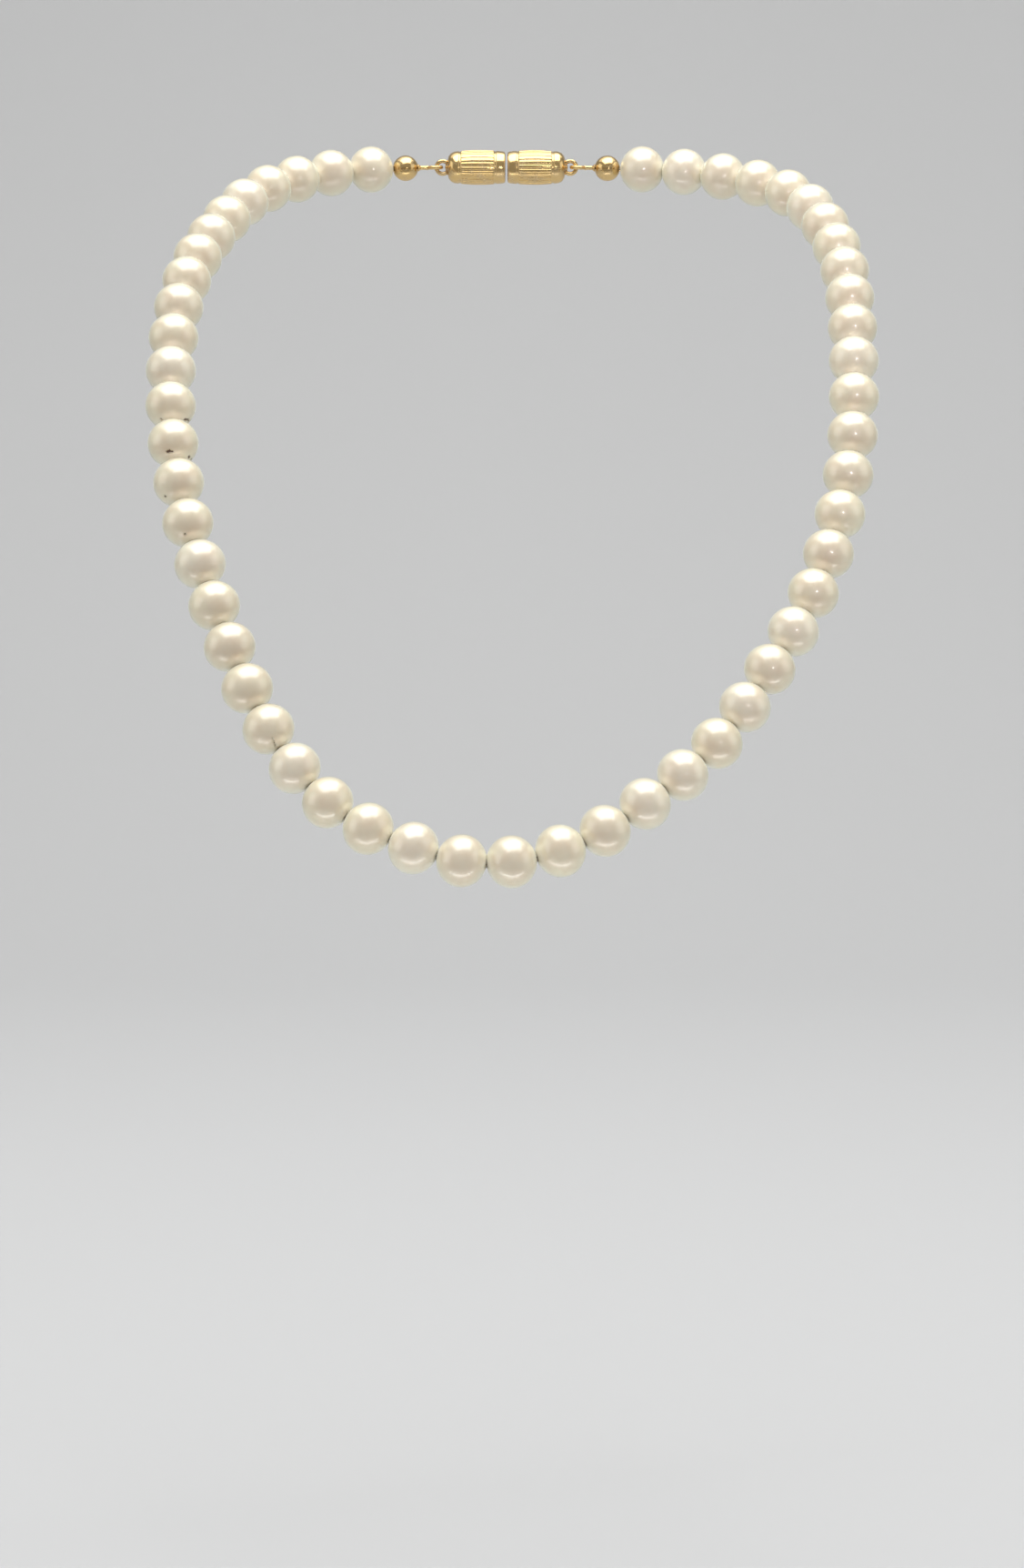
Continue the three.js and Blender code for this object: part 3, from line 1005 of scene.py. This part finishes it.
magnetLook = {
    "colour": "#C9C7C2",
    "clouded": "#A9A7A2",
    "cloudSize": 0.6,          # mm
    "smoothest": 0.18,         # roughness
    "roughest": 0.42,
}


def magnetMaterial():
    # nickel-plated magnet: a cool grey mirror, slightly clouded
    look = magnetLook
    material, tree = newMaterial("nickel-plated magnet")
    place = addNode(tree, "ShaderNodeTexCoord").outputs["Object"]
    cloud = addNode(tree, "ShaderNodeTexNoise", {"Scale": 1 / mm(look["cloudSize"]), "Detail": 4},
                    {"Vector": place})
    tone = addNode(tree, "ShaderNodeMix", {
        "data_type": "RGBA", 6: colour(look["colour"]), 7: colour(look["clouded"]),
    }, {0: cloud.outputs["Fac"]})
    roughness = addNode(tree, "ShaderNodeMapRange", {"To Min": look["smoothest"], "To Max": look["roughest"]},
                        {"Value": cloud.outputs["Fac"]})
    shader = addNode(tree, "ShaderNodeBsdfPrincipled", {"Metallic": 1.0},
                     {"Base Color": tone.outputs[2], "Roughness": roughness.outputs["Result"]})
    finishTree(tree, shader)
    return material


def addClasp():
    gold, nickel = goldMaterial(), magnetMaterial()
    half, magnet, beadTip = modelClaspHalf(), modelMagnet(), modelBeadTip()
    sides = [
        ("left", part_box("clasp_half_left")[1].x, pivots["bead_tip_left"], pivots[pearlNames[0]]),
        ("right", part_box("clasp_half_right")[0].x, pivots["clasp_half_right"], pivots["bead_tip_right"]),
    ]
    for side, faceX, hook, mouth in sides:
        face = Vector((faceX, hook.y, hook.z))
        for model, node, body, matrix, look, slot in (
            (half, f"clasp_half_{side}", f"clasp_half_{side}", layMatrix(face, hook), gold, "gold_plate"),
            (magnet, f"magnet_{side}", f"clasp_half_{side}", layMatrix(face, hook), nickel, "magnet"),
            (beadTip, f"bead_tip_{side}", f"bead_tip_{side}", layMatrix(hook, mouth), gold, "gold_plate"),
        ):
            piece = copyOf(model, f"{node}_piece")
            settle(piece, matrix)
            piece.data.materials.append(look)
            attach(piece, body)
            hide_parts(node)
    for model in (half, magnet, beadTip):
        bpy.data.objects.remove(model)


addClasp()
print("clasp and bead tips made")
addThread()
print("thread laid and knotted")
